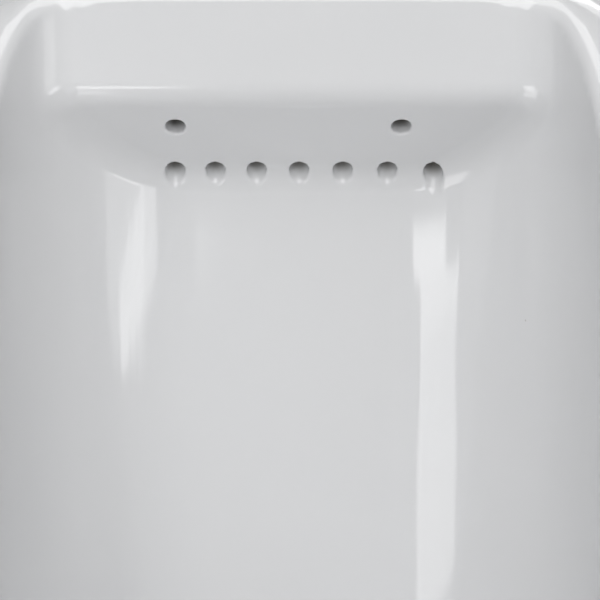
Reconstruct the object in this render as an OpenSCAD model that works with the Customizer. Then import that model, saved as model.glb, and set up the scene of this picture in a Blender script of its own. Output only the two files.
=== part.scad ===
// Wall-hung washdown urinal with a flush box cast in one with the bowl.
// X runs to the right, Y towards the wall and Z up. The wall plane is y = 0 and the
// origin is the centre of the outlet in that plane. Lengths are in millimetres.

/* [China body] */
// Width of the body at the wall
body_w = 360; // [350:5:385]
// Distance from the wall to the front of the lip
body_d = 350; // [335:5:370]
// Height of the top at the wall, above the outlet centre
body_top = 500; // [490:5:530]
// Depth of the bottom at the wall, below the outlet centre
body_bottom = 140; // [138:1:160]
// Thickness of the cast china
china_t = 10; // [8:0.5:11]
// Height of the lip above the outlet centre
lip_z = 90; // [80:5:110]
// Radius of the rolled lip
lip_r = 16; // [13:1:18]
// Width of the rim at the sides and the front
rim_w = 30; // [26:1:34]

/* [Bowl] */
// Distance from the wall to the back of the bowl
bowl_back = 79; // [76:1:84]
// Width of the flat middle of the bowl's back
flat_w = 114; // [100:2:124]
// Distance from the body's side to the bowl's inside where its corners end
bowl_side = 65; // [62:1:69]
// Depth of the rounded corners between the back and the sides
corner_d = 85; // [75:5:95]
// Depth of the bowl's floor below the outlet centre
floor_z = 55; // [50:1:58]
// Distance from the wall to the drain
drain_y = 160; // [155:1:168]

/* [Flush box] */
// How far the box stands out from the back of the bowl
box_proud = 33; // [29:1:37]
// Height of the box's lower front edge above the outlet centre
box_low = 440; // [432:1:446]
// Radius of the box's lower front edge
box_edge_r = 9; // [5:1:11]
// Thickness of the box at the sides of its water space
box_side_t = 14; // [10:1:22]
// Diameter of a wash hole
hole_d = 8.4; // [6:0.2:9.6]
// Number of wash holes in the row
hole_n = 7; // [3:2:9]
// Pitch of the row
hole_pitch = 18.7; // [16:0.1:20]
// Lean of the row's holes from upright
hole_lean = 25; // [20:1:32]
// Distance of the two upper holes below the box's front edge
upper_hole_drop = 12; // [10:0.5:14]

/* [Inlet] */
// Distance from the wall to the inlet
inlet_y = 60; // [55:1:66]
// Diameter of the hole in the china for the spud
inlet_hole_d = 38; // [37:0.5:42]
// Outside diameter of the spud's thread
spud_d = 33.2; // [32:0.2:34.6]
// Diameter of the spud's free end
spud_top_d = 32.4; // [31:0.2:33]
// Bore of the spud
spud_bore_d = 19.3; // [16:0.1:21]
// Length of thread that stands out above the china
spud_out = 27; // [20:1:32]
// Thickness of the rubber spud washer
spud_gasket_t = 4; // [3:0.5:5]
// Thickness of the friction ring
spud_ring_t = 2; // [1.5:0.5:3]
// Width across the flats of the spud's locknut
spud_nut_af = 48; // [44:1:54]
// Height of the spud's locknut
spud_nut_h = 10; // [8:1:12]

/* [Trap and outlet] */
// Diameter of the trap's passage
trap_d = 42; // [38:1:43]
// Depth of the trap's low passage below the outlet centre
trap_low = 98; // [96:1:99]
// Distance from the wall to the rising leg of the trap
riser_y = 46; // [44:1:48]
// Diameter of the outlet passage
outlet_d = 50; // [46:1:52]
// Thickness of the outlet flange
flange_t = 14; // [12:1:18]
// Outside diameter of the outlet flange
flange_d = 84; // [80:1:88]
// Diameter of the flange's threaded socket
socket_d = 57.4; // [54:0.2:60]
// Thickness of the outlet gasket
gasket_t = 4; // [3:0.5:6]
// Distance between the two outlet bolts
bolt_pitch = 104; // [100:1:110]
// Diameter of the outlet bolts
bolt_d = 8; // [6:0.5:9]

/* [Strainer] */
// Diameter of the strainer's plate
strainer_d = 76; // [70:1:80]
// Thickness of the strainer's plate
strainer_t = 2; // [1.5:0.5:3]
// Diameter of the strainer's holes
strainer_hole_d = 5; // [4:0.5:5.5]
// Rings of holes round the middle one
strainer_rings = 3; // [2:1:3]

/* [Wall hangers] */
// Distance between the box's side and a hanger
hanger_gap = 7; // [5:1:9]
// Width of a hanger
hanger_w = 34; // [30:1:36]
// Thickness of the hanger's steel
hanger_t = 3; // [2.5:0.5:4]
// Height of the ledge that the hangers carry, above the outlet centre
ledge_z = 430; // [420:1:434]
// Diameter of the hanger screws
screw_d = 6; // [5:0.5:6.5]
// Length of the hanger screws behind the wall plane
screw_len = 45; // [35:5:60]
// Distance between the two screws of a hanger
screw_pitch = 24; // [22:1:28]

/* [Hidden] */

china = [0.93, 0.93, 0.94];
brass = [0.78, 0.62, 0.32];
steel = [0.72, 0.73, 0.75];
zinc = [0.66, 0.67, 0.66];
rubber = [0.12, 0.12, 0.13];

fit = 0.15;            // gap between a thread or shank and its hole
seat = 0.3;            // gap round a piece that only drops in
past = 60;             // how far a cut runs past what it cuts
skim = 0.5;            // flat left on the crest of the lip

nose_z = lip_z - lip_r;
lip_crest = body_d - lip_r;
lip_inner = body_d - 2 * lip_r;
bowl_w = body_w - 2 * bowl_side;
box_front = bowl_back + box_proud;
box_w = bowl_w - 6;      // the box's ends sink into the bowl's sides
box_top_r = 16;          // how far the top of the box's front leans back
top_fall = 13;           // how far the top falls from the wall to the front of the box
top_front = body_top - top_fall;
flat_foot = nose_z + 6;  // where the bowl's flat back starts to curve forward
side_foot = nose_z + 11; // where the bowl's sides start to curve in
side_fall = 40;          // how much deeper than its foot a side keeps curving
rim_blend = 12;          // how softly the bowl's corner runs into its rim

// Curves by distance d from the wall. A power of 2 is an ellipse, and more is squarer.

plan_power = 2.6;        // the outline seen from above
belly_power = 2.6;       // the underside seen from the side
top_power = 6;           // the upper corners at the wall, seen from the front
tip_power = 3.5;         // the upper corners at the lip
lower_power = 2.6;       // the lower half, seen from the front
bowl_power = 2.3;        // the bowl's lower half, seen from the front
back_power = 2.2;        // the bowl's floor behind the drain, seen from the side
front_power = 2.4;       // the bowl's floor in front of the drain
bowl_flare = 0.09;       // how much the bowl widens towards the front

function mix(a, b, f) = a + (b - a) * f;
function arch(f, p) = pow(max(0, 1 - pow(abs(f), p)), 1 / p);
function soft_min(a, b, k) = (a + b - sqrt((a - b) * (a - b) + k * k)) / 2;
function shield(f) = mix(1 - f, pow(cos(90 * f), 2), 0.75);

function outer_half(d) = body_w / 2 * arch(d / body_d, plan_power);
function outer_bottom(d) = nose_z - (nose_z + body_bottom) * arch(d / body_d, belly_power);
function outer_top(d) =
    d <= box_front ? body_top - top_fall * pow(d / box_front, 2) :
    d <= lip_crest ? mix(lip_z, top_front, shield((d - box_front) / (lip_crest - box_front))) :
    nose_z + lip_r * arch((d - lip_crest) / lip_r, 2);

function bowl_corner(d) =
    flat_w / 2 + (bowl_w - flat_w) / 2 * arch(1 - min(1, (d - bowl_back) / corner_d), 2)
    + bowl_flare * (d - bowl_back);
function bowl_half(d) =
    soft_min(bowl_corner(min(d, lip_crest)), outer_half(min(d, lip_crest)) - rim_w, rim_blend);
function bowl_floor(d) =
    d <= drain_y ? mix(-floor_z, flat_foot, 1 - arch((drain_y - d) / (drain_y - bowl_back), back_power)) :
    d <= lip_inner ? mix(-floor_z, nose_z, 1 - arch((d - drain_y) / (lip_inner - drain_y), front_power)) :
    d <= lip_crest ? nose_z + (lip_r - skim) * arch((lip_crest - d) / lip_r, 2) :
    lip_z - skim;
function bowl_side_foot(d) =
    let (b = bowl_floor(d)) b + sqrt(pow(side_foot - b, 2) + pow(side_fall, 2));

// Rings of points in planes parallel to the wall, and the skin over them

round_n = 48; // points round an outer ring, and twice the segments of the bowl's lower half

function power(c, n) = sign(c) * pow(abs(c), 2 / n);
function outer_ring(d, inset) =
    let (
        top = outer_top(d) - inset,
        low = outer_bottom(d) + inset,
        mid = (top + low) / 2,
        half = outer_half(d) - inset,
        square = mix(top_power, tip_power, d / body_d),
        y = -d * (body_d - inset) / body_d
    )
    [for (i = [0 : round_n - 1])
        let (
            a = 360 * i / round_n,
            n = sin(a) > 0 ? square : lower_power,
            w = cos(a) == 0 ? 0 : power(cos(a), n)
        )
        [half * w, y, mid + (top - low) / 2 * power(sin(a), n)]];
function bowl_ring(d, grow) =
    let (
        foot = bowl_side_foot(d),
        low = bowl_floor(d) - grow,
        half = bowl_half(d) + grow,
        span = (min(d, lip_crest) - bowl_back) / (lip_crest - bowl_back),
        y = -d - grow * (2 * span - 1),
        open = body_top + past
    )
    concat(
        [[-half, y, open]],
        [for (i = [0 : round_n / 2])
            let (a = 180 * i / (round_n / 2))
            [-half * power(cos(a), bowl_power), y, foot - (foot - low) * power(sin(a), bowl_power)]],
        [[half, y, open]]);

module skin(rings) {
    n = len(rings[0]);
    last = len(rings) - 1;
    faces = concat(
        [[for (i = [0 : n - 1]) i]],
        [for (k = [0 : last - 1]) for (i = [0 : n - 1])
            let (a = k * n + i, b = k * n + (i + 1) % n)
            each [[a, b + n, b], [a, a + n, b + n]]],
        [[for (i = [n - 1 : -1 : 0]) last * n + i]]);
    polyhedron([for (r = rings) each r], faces, convexity = 8);
}

module outside(inset = 0) {
    reach = inset > 0 ? 0.985 : 0.99995;
    runs = 22;
    rings = [for (k = [0 : runs]) outer_ring(body_d * reach * sin(90 * k / runs), inset)];
    back = [for (p = rings[0]) [p.x, inset, p.z]];
    skin(inset > 0 ? concat([back], rings) : rings);
}

module bowl_space(grow = 0) {
    deep = bowl_back + corner_d;
    stations = concat(
        [for (k = [0 : 8]) bowl_back + corner_d * (1 - cos(90 * k / 8))],
        [for (k = [1 : 9]) deep + (lip_inner - deep) * sin(10 * k)],
        [for (k = [1 : 5]) lip_inner + lip_r * (1 - cos(18 * k))],
        [body_d + past]);
    skin([for (d = stations) bowl_ring(d, grow)]);
}

// Side outlines, drawn as [distance from the wall, height] and set across the body

module across(width) {
    rotate([90, 0, -90]) linear_extrude(width, center = true) children();
}

box_flat_d = bowl_back - 7;            // distance from the wall where the box's bottom turns flat
under_z = box_low - box_front;         // the box's sloping underside is the line z = d + under_z
box_flat_z = box_flat_d + under_z;
box_front_fall = 14;                   // from the top of the body to the round at the top of the box's front

module box_outline() {
    hull() {
        translate([box_front - box_edge_r, box_low + box_edge_r * tan(22.5)])
            circle(box_edge_r, $fn = 48);
        translate([0, box_flat_z]) square([box_flat_d, skim]);
        translate([0, body_top]) square([box_front - box_top_r, past]);
        translate([box_front - box_edge_r, top_front - box_front_fall - box_edge_r])
            circle(box_edge_r, $fn = 48);
    }
}

module flush_box() {
    across(box_w) box_outline();
}

module chamber() {
    low = box_flat_z + china_t;
    slope_z = under_z + china_t * sqrt(2);
    front = box_front - china_t;
    roof = top_front - china_t;
    across(box_w - 2 * box_side_t)
        polygon([
            [china_t, low],
            [low - slope_z, low],
            [front, front + slope_z],
            [front, roof],
            [china_t, roof + 10]]);
}

// Wash holes: a row in the corner under the box, and two more in its sloping underside

// The row is punched by hand: it lies a little right of the middle and drifts.
row_shift = 1.3;
row_drift = 0.25;
function hole_x(i) = row_shift + hole_pitch * i + row_drift * i * i;

row_d = bowl_back + 2;                // where the row's axes cross the underside
row_z = box_low - box_proud + 3;
punch_out = 24;
punch_in = 18;
upper_hole_x = [-51, 44.5];
upper_d = box_front - upper_hole_drop;

module punch(x, d, z, lean) {
    translate([x, -d, z]) rotate([-lean, 0, 0]) translate([0, 0, -punch_out])
        cylinder(d = hole_d, h = punch_out + punch_in, $fn = 32);
}

module wash_holes() {
    reach = (hole_n - 1) / 2;
    for (i = [-reach : reach]) punch(hole_x(i), row_d, row_z, hole_lean);
    for (x = upper_hole_x) punch(x, upper_d, upper_d + under_z, 45);
}

// Inlet: a flat boss outside and a flat seat inside

boss_z = body_top - 1;
boss_t = china_t + 3;
boss_d = spud_nut_af / cos(30) + 4;
inlet_seat_z = boss_z - boss_t;
inlet_draft = 1;         // how much the hole widens upwards, as cast holes do

module inlet_boss() {
    translate([0, -inlet_y, boss_z - china_t]) cylinder(d = boss_d, h = china_t, $fn = 64);
}

module inlet_cut() {
    translate([0, -inlet_y, inlet_seat_z - china_t]) cylinder(d = boss_d, h = china_t, $fn = 64);
    translate([0, -inlet_y, inlet_seat_z - skim])
        cylinder(d1 = inlet_hole_d, d2 = inlet_hole_d + inlet_draft, h = boss_t + 2 * skim, $fn = 64);
}

// Trap: down from the drain, back, up the riser and out through the wall

trap_wall = 8;
outlet_face = flange_t + gasket_t;
web_t = 14;              // thickness of the web that the outlet bolts pass through
web_h = 22;
web_front = outlet_face + web_t;
notch_w = 38;            // the notches let a wrench reach the outlet's nuts from below
notch_d = 30;
notch_gap = 10;          // between the web and the top of a notch

module trap_run(grow = 0) {
    r = trap_d / 2 + grow;
    drop = [0, -drain_y, -trap_low];
    turn = [0, -riser_y, -trap_low];
    translate(drop) cylinder(r = r, h = trap_low - floor_z + (grow > 0 ? -trap_wall / 2 : 2), $fn = 48);
    translate(drop) sphere(r, $fn = 48);
    translate(turn) rotate([90, 0, 0]) cylinder(r = r, h = drain_y - riser_y, $fn = 48);
    translate(turn) sphere(r, $fn = 48);
    translate(turn) cylinder(r = r, h = trap_low, $fn = 48);
    translate([0, -riser_y, 0]) sphere(outlet_d / 2 + grow, $fn = 48);
    translate([0, grow > 0 ? -outlet_face : 1, 0]) rotate([90, 0, 0])
        cylinder(d = outlet_d + 2 * grow, h = riser_y - (grow > 0 ? outlet_face : -1), $fn = 48);
}

module trap_walls() {
    intersection() {
        trap_run(trap_wall);
        translate([-body_w / 2, -body_d - outlet_face, -body_bottom])
            cube([body_w, body_d, body_bottom + body_top]);
    }
}

module outlet_horn() {
    translate([0, -outlet_face, 0]) rotate([90, 0, 0]) cylinder(d = flange_d, h = web_t, $fn = 64);
    translate([-body_w / 2, -web_front, -web_h / 2]) cube([body_w, web_t, web_h]);
}

module bolt_holes() {
    along_bolts(0) cylinder(d = bolt_d + 2, h = web_front + 1, $fn = 32);
}

module both_sides() {
    children();
    mirror([1, 0, 0]) children();
}

module wrench_notches() {
    both_sides() translate([bolt_pitch / 2 - notch_w / 3, -web_front - notch_d, -body_bottom - 1])
        cube([notch_w, notch_d + web_t, body_bottom + 1 - web_h / 2 - notch_gap]);
}

// Ledges in the back that sit on the wall hangers

ledge_t = 14;
ledge_d = 42;
hook_d = 30;
tip_h = 10;
slot_gap = 2;
hanger_x = box_w / 2 + hanger_gap + hanger_w / 2;

module ledges() {
    translate([-body_w / 2, -ledge_d, ledge_z]) cube([body_w, ledge_d, ledge_t]);
}

module hook_slots() {
    both_sides() translate([hanger_x - hanger_w / 2 - slot_gap, -hook_d - slot_gap, ledge_z - 1])
        cube([hanger_w + 2 * slot_gap, hanger_t + 2 * slot_gap, ledge_t + 2]);
}

// Drain: a shallow seat for the strainer over the trap's mouth

strainer_z = 1 - floor_z;

module drain_seat() {
    translate([0, -drain_y, strainer_z]) cylinder(d = strainer_d + 2 * seat, h = china_t, $fn = 96);
}

module drain_pad() {
    translate([0, -drain_y, -floor_z - china_t])
        cylinder(d = strainer_d + 2 * china_t, h = 3 * china_t, $fn = 64);
}

module china_body() {
    color(china)
    difference() {
        union() {
            outside();
            inlet_boss();
        }
        difference() {
            bowl_space();
            flush_box();
        }
        difference() {
            outside(china_t);
            bowl_space(china_t);
            flush_box();
            trap_walls();
            drain_pad();
            outlet_horn();
            ledges();
        }
        chamber();
        wash_holes();
        inlet_cut();
        trap_run();
        drain_seat();
        bolt_holes();
        wrench_notches();
        hook_slots();
    }
}

// Inlet fittings, stacked on the spud's axis

module on_inlet(z) {
    translate([0, -inlet_y, z]) children();
}

module tube(outer, inner, h) {
    difference() {
        cylinder(d = outer, h = h, $fn = 64);
        translate([0, 0, -1]) cylinder(d = inner, h = h + 2, $fn = 64);
    }
}

spud_flange_t = 3;
spud_foot = inlet_seat_z - spud_gasket_t - spud_flange_t;
spud_h = boss_z + spud_out - spud_foot;
spud_end = spud_out - spud_ring_t - spud_nut_h - 1.5; // length of the free end above the locknut

module flush_spud() {
    color(brass) on_inlet(spud_foot) {
        difference() {
            union() {
                cylinder(d = boss_d - 4, h = spud_flange_t, $fn = 64);
                cylinder(d = spud_d, h = spud_h - spud_end, $fn = 64);
                cylinder(d = spud_top_d, h = spud_h, $fn = 64);
            }
            translate([0, 0, -1]) cylinder(d = spud_bore_d, h = spud_h + 2, $fn = 64);
        }
    }
}

module spud_gasket() {
    color(rubber) on_inlet(inlet_seat_z - spud_gasket_t) tube(boss_d - 5, spud_d + 2 * fit, spud_gasket_t);
}

module spud_friction_ring() {
    color(zinc) on_inlet(boss_z) tube(spud_nut_af + 2, spud_d + 2 * fit, spud_ring_t);
}

module spud_locknut() {
    color(brass) on_inlet(boss_z + spud_ring_t) difference() {
        cylinder(d = spud_nut_af / cos(30), h = spud_nut_h, $fn = 6);
        translate([0, 0, -1]) cylinder(d = spud_d + 2 * fit, h = spud_nut_h + 2, $fn = 64);
    }
}

// Strainer: a plate with rings of holes, a drop-in collar and a low knob to lift it by

collar_d = trap_d - 2 * seat;
collar_t = 1.5;
collar_h = 10;
knob_d = 9;
knob_h = 4;
strainer_edge = 6;       // plain border outside the outermost holes

module strainer() {
    ring_step = (strainer_d / 2 - strainer_edge) / (strainer_rings + 0.5);
    color(steel) translate([0, -drain_y, strainer_z]) {
        difference() {
            cylinder(d = strainer_d, h = strainer_t, $fn = 96);
            for (ring = [1 : strainer_rings]) for (k = [0 : 6 * ring - 1])
                rotate(360 * k / (6 * ring)) translate([ring_step * ring, 0, -1])
                    cylinder(d = strainer_hole_d, h = strainer_t + 2, $fn = 24);
        }
        translate([0, 0, strainer_t]) cylinder(d1 = knob_d, d2 = 0.8 * knob_d, h = knob_h, $fn = 32);
        translate([0, 0, -collar_h]) tube(collar_d, collar_d - 2 * collar_t, collar_h);
    }
}

// Outlet fittings, on the wall side of the china

ear_d = 26;
bolt_head_t = 5;
nut_t = 6.5;
washer_t = 1.6;

module along_bolts(d) {
    both_sides() translate([bolt_pitch / 2, -d, 0]) rotate([90, 0, 0]) children();
}

module outlet_flange() {
    color(brass) difference() {
        union() {
            rotate([90, 0, 0]) cylinder(d = flange_d, h = flange_t, $fn = 96);
            along_bolts(0) cylinder(d = ear_d, h = flange_t, $fn = 48);
            translate([-bolt_pitch / 2, -flange_t, -web_h / 2]) cube([bolt_pitch, flange_t, web_h]);
        }
        translate([0, 1, 0]) rotate([90, 0, 0]) cylinder(d = socket_d, h = flange_t + 2, $fn = 96);
        along_bolts(-1) {
            cylinder(d = bolt_d + 2 * fit, h = flange_t + 2, $fn = 32);
            cylinder(d = 2 * bolt_d + 1, h = bolt_head_t + 1.5, $fn = 32);
        }
    }
}

module outlet_gasket() {
    color(rubber) translate([0, -flange_t, 0]) rotate([90, 0, 0]) tube(flange_d - 4, outlet_d + 2, gasket_t);
}

module outlet_bolts() {
    color(zinc) along_bolts(0.5) {
        cylinder(d = 2 * bolt_d, h = bolt_head_t, $fn = 32);
        cylinder(d = bolt_d, h = web_front + washer_t + nut_t + 6, $fn = 32);
    }
}

module outlet_washers() {
    color(zinc) along_bolts(web_front) tube(2 * bolt_d + 4, bolt_d + 2 * fit, washer_t);
}

module outlet_nuts() {
    color(zinc) along_bolts(web_front + washer_t) difference() {
        cylinder(d = 1.85 * bolt_d, h = nut_t, $fn = 6);
        translate([0, 0, -1]) cylinder(d = bolt_d + 2 * fit, h = nut_t + 2, $fn = 32);
    }
}

// Wall hangers: a plate on the wall, an arm under the ledge and a tip through its slot

screw_edge = 13;         // from a screw to the plate's end
plate_h = screw_pitch + 2 * screw_edge;
screw_low = ledge_z - plate_h + screw_edge;

module hanger() {
    color(zinc) difference() {
        union() {
            translate([-hanger_w / 2, -hanger_t, ledge_z - plate_h]) cube([hanger_w, hanger_t, plate_h]);
            translate([-hanger_w / 2, -hook_d, ledge_z - hanger_t]) cube([hanger_w, hook_d, hanger_t]);
            translate([-hanger_w / 2, -hook_d, ledge_z - hanger_t])
                cube([hanger_w, hanger_t, hanger_t + tip_h]);
        }
        for (k = [0, 1]) translate([0, 1, screw_low + k * screw_pitch])
            rotate([90, 0, 0]) cylinder(d = screw_d + 1, h = hanger_t + 2, $fn = 32);
    }
}

module hanger_left() {
    translate([-hanger_x, 0, 0]) hanger();
}

module hanger_right() {
    translate([hanger_x, 0, 0]) hanger();
}

module at_screws(d) {
    both_sides() for (k = [0, 1])
        translate([hanger_x, -d, screw_low + k * screw_pitch]) rotate([90, 0, 0]) children();
}

module hanger_washers() {
    color(zinc) at_screws(hanger_t) tube(2.4 * screw_d, screw_d + 2 * fit, washer_t);
}

screw_head_t = 4;
screw_point = 8;

module hanger_screws() {
    color(zinc) at_screws(0) {
        translate([0, 0, hanger_t + washer_t]) cylinder(d = 1.85 * screw_d, h = screw_head_t, $fn = 6);
        translate([0, 0, -1]) cylinder(d = 0.9 * screw_d, h = hanger_t + washer_t + 2, $fn = 32);
        translate([0, 0, screw_point - screw_len])
            cylinder(d = screw_d, h = screw_len - screw_point - 1, $fn = 32);
        translate([0, 0, -screw_len]) cylinder(d1 = 1, d2 = screw_d, h = screw_point, $fn = 32);
    }
}

china_body();
flush_spud();
spud_gasket();
spud_friction_ring();
spud_locknut();
strainer();
outlet_flange();
outlet_gasket();
outlet_bolts();
outlet_washers();
outlet_nuts();
hanger_left();
hanger_right();
hanger_screws();
hanger_washers();
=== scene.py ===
# %% [markdown]
# # A wall-hung china urinal
#
# The CAD frame gives every piece its place and size. This script dresses it: the china gets its
# soft fillets, rolled rim and glaze, and the fittings get threads, chamfers and metal finishes.
# Lengths in this file are in millimetres, and they are turned into metres when a mesh is made.

import math

import bmesh
import bpy
import numpy as np
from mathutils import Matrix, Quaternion, Vector


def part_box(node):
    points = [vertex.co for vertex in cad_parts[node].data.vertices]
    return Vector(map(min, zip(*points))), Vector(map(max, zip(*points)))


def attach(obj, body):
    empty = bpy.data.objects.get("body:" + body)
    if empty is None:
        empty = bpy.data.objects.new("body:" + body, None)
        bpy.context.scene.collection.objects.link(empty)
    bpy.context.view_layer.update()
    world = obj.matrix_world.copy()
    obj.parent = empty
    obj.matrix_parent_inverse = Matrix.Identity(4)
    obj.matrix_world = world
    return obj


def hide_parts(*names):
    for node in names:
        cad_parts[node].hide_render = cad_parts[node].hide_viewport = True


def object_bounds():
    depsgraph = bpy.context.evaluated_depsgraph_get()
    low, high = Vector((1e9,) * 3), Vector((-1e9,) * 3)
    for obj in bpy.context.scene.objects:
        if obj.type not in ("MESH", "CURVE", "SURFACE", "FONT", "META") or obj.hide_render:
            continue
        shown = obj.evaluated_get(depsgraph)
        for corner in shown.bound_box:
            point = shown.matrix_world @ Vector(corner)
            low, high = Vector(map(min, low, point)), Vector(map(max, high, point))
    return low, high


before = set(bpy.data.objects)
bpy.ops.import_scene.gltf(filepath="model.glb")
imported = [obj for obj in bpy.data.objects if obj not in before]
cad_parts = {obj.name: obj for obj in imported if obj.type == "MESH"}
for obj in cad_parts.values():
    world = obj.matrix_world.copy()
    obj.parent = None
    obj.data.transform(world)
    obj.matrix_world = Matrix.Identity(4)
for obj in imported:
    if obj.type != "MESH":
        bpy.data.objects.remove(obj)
cad_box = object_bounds()
MM = 0.001
scene = bpy.context.scene
print("nodes in the frame:", len(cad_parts))

# %% [markdown]
# ## Sizes
#
# These are the named sizes of the CAD source, so the dressed china lies on the solid. One differs:
# the flat middle of the bowl's back, `FLAT_W`, is 114 mm wide in the CAD and 88 mm here, because a
# back that curves sooner puts the reflections where the real glaze has them. In this file `x` runs
# to the right, `d` is the distance from the wall, which is `-y`, and `z` runs up.

# %% Sizes of the china
BODY_W, BODY_D, BODY_TOP, BODY_BOTTOM, CHINA_T = 360.0, 350.0, 500.0, 140.0, 10.0
LIP_Z, LIP_R, RIM_W = 90.0, 16.0, 30.0
BOWL_BACK, FLAT_W, BOWL_SIDE, CORNER_D = 79.0, 88.0, 65.0, 85.0
FLOOR_Z, DRAIN_D = 55.0, 160.0
BOX_PROUD, BOX_LOW, BOX_SIDE_T = 33.0, 440.0, 14.0
HOLE_D, HOLE_N, HOLE_PITCH, HOLE_LEAN, UPPER_DROP = 8.4, 7, 18.7, 25.0, 12.0
INLET_D, SPUD_NUT_AF, INLET_HOLE_D = 60.0, 48.0, 38.0
TRAP_D, TRAP_LOW, RISER_D, OUTLET_D, TRAP_WALL = 42.0, 98.0, 46.0, 50.0, 8.0
FLANGE_D, FLANGE_T, GASKET_T, BOLT_PITCH, BOLT_D = 84.0, 14.0, 4.0, 104.0, 8.0
STRAINER_D, LEDGE_Z, LEDGE_T, HANGER_W, HANGER_T = 76.0, 430.0, 14.0, 34.0, 3.0
FIT = 0.3

NOSE_Z = LIP_Z - LIP_R
LIP_CREST, LIP_INNER = BODY_D - LIP_R, BODY_D - 2 * LIP_R
BOWL_W = BODY_W - 2 * BOWL_SIDE
BOX_FRONT, BOX_W = BOWL_BACK + BOX_PROUD, BOWL_W - 6
TOP_FALL = 13.0
TOP_FRONT = BODY_TOP - TOP_FALL
PLATE_Z = 1 - FLOOR_Z
FLAT_FOOT, SIDE_FOOT, SIDE_FALL, RIM_BLEND = NOSE_Z + 6, NOSE_Z + 11, 40.0, 12.0
UNDER_Z = BOX_LOW - BOX_FRONT
BOX_FLAT_Z = BOWL_BACK - 7 + UNDER_Z
BOSS_Z = BODY_TOP - 1
SEAT_Z = BOSS_Z - CHINA_T - 3
BOSS_R = (SPUD_NUT_AF / math.cos(math.pi / 6) + 4) / 2
HANGER_X = BOX_W / 2 + 7 + HANGER_W / 2
print("the box's front is", BOX_FRONT, "mm from the wall, and the hangers are at", HANGER_X)

# %% [markdown]
# ## Curves of the china
#
# A slip-cast body has no straight lines. Its outline seen from above, its belly seen from the
# side and its sections seen from the front are all superellipses: a power of 2 is an ellipse, and
# a higher one is squarer. Each function below is one of those curves, by distance from the wall.


# %% Curves
# This hundredth of a millimetre keeps a centre or a corner, where a distance is 0, from dividing by it.
NUDGE = 0.01


def mix(a, b, f):
    return a + (b - a) * f


def arch(f, power):
    return np.maximum(0, 1 - np.abs(f) ** power) ** (1 / power)


def outer_half(d):
    return BODY_W / 2 * arch(d / BODY_D, 2.6)


def outer_bottom(d):
    return NOSE_Z - (NOSE_Z + BODY_BOTTOM) * arch(d / BODY_D, 2.6)


def outer_top(d):
    fall = np.clip((d - BOX_FRONT) / (LIP_CREST - BOX_FRONT), 0, 1)
    shield = mix(1 - fall, np.cos(np.pi / 2 * fall) ** 2, 0.75)
    lip = NOSE_Z + LIP_R * arch(np.clip((d - LIP_CREST) / LIP_R, 0, 1), 2)
    top = BODY_TOP - TOP_FALL * (d / BOX_FRONT) ** 2
    return np.where(d <= BOX_FRONT, top, np.where(d <= LIP_CREST, mix(LIP_Z, TOP_FRONT, shield), lip))


def bowl_half(d):
    d = np.minimum(d, LIP_CREST)
    turn = arch(1 - np.clip((d - BOWL_BACK) / CORNER_D, 0, 1), 2)
    corner = FLAT_W / 2 + (BOWL_W - FLAT_W) / 2 * turn + 0.09 * (d - BOWL_BACK)
    rim = outer_half(d) - RIM_W
    return (corner + rim - np.sqrt((corner - rim) ** 2 + RIM_BLEND**2)) / 2


def bowl_plan(x, d):
    """How far a point is behind the bowl's back and its two curved corners."""
    wide, deep = (BOWL_W - FLAT_W) / 2, np.maximum(BOWL_BACK + CORNER_D - d, 0)
    turn = arch(np.clip(deep / CORNER_D, 0, 1), 2)
    aside = np.maximum(np.abs(x) - bowl_half(d) + wide * turn, NUDGE)
    r = np.sqrt((aside / wide) ** 2 + (deep / CORNER_D) ** 2)
    return np.sqrt(aside * aside + deep * deep) * (1 - 1 / r)


def bowl_floor(d):
    back = np.clip((DRAIN_D - d) / (DRAIN_D - BOWL_BACK), 0, 1)
    front = np.clip((d - DRAIN_D) / (LIP_INNER - DRAIN_D), 0, 1)
    behind = mix(-FLOOR_Z, FLAT_FOOT, 1 - arch(back, 2.2))
    return np.where(d <= DRAIN_D, behind, mix(-FLOOR_Z, NOSE_Z, 1 - arch(front, 2.4)))


def bowl_foot(d):
    floor = bowl_floor(d)
    return floor + np.sqrt((SIDE_FOOT - floor) ** 2 + SIDE_FALL**2)


print("the bowl is", round(2 * float(bowl_half(150.0)), 1), "mm wide inside, 150 mm from the wall")

# %% [markdown]
# ## Rounded joins
#
# The china could be lofted and cut with booleans, but then each edge would need its own bevel, and
# the real thing has no edge at all: the slip and the glaze run every join into a soft round. So the
# china is written as a field, a function that is negative in the material and positive outside, near
# its surface about the distance in millimetres. Two fields join in one expression, and the radius
# of the round between them is a number. Distances and heights come in as arrays.


# %% Joins
def ring_field(u, v, power, size, half):
    """How far a point is outside a superellipse, along the line from its centre.

    `u` and `v` are the point in half-widths, and `size` is its distance from the centre."""
    r = (np.abs(u) ** power + np.abs(v) ** power) ** (1 / power)
    return (size + NUDGE) * (1 - 1 / (r + NUDGE / half))


def levelled(field, x, d, z, steepest=3.5):
    """The field divided by its slope, so that it counts in millimetres."""
    step = np.float32(0.5)
    here = field(x, d, z)
    slope = sum(
        ((field(*place) - here) / step) ** 2
        for place in ((x + step, d, z), (x, d + step, z), (x, d, z + step))
    )
    return here / np.clip(np.sqrt(slope), 1.0, steepest)


def cut_round(a, b, radius, cosine=0.0):
    """What is in both, with a round on the edge. The cosine is that between their outward normals."""
    p, q = a + radius, b + radius
    on_edge = (p > cosine * q) & (q > cosine * p)
    reach = np.sqrt(np.maximum(p * p + q * q - 2 * cosine * p * q, 0) / (1 - cosine * cosine))
    return np.where(on_edge, reach - radius, np.maximum(a, b))


def join_round(a, b, radius, cosine=0.0):
    """What is in either, with a fillet between them."""
    return -cut_round(-a, -b, radius, cosine)


def between(v, low, high):
    return np.abs(v - (low + high) / 2) - (high - low) / 2


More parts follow.
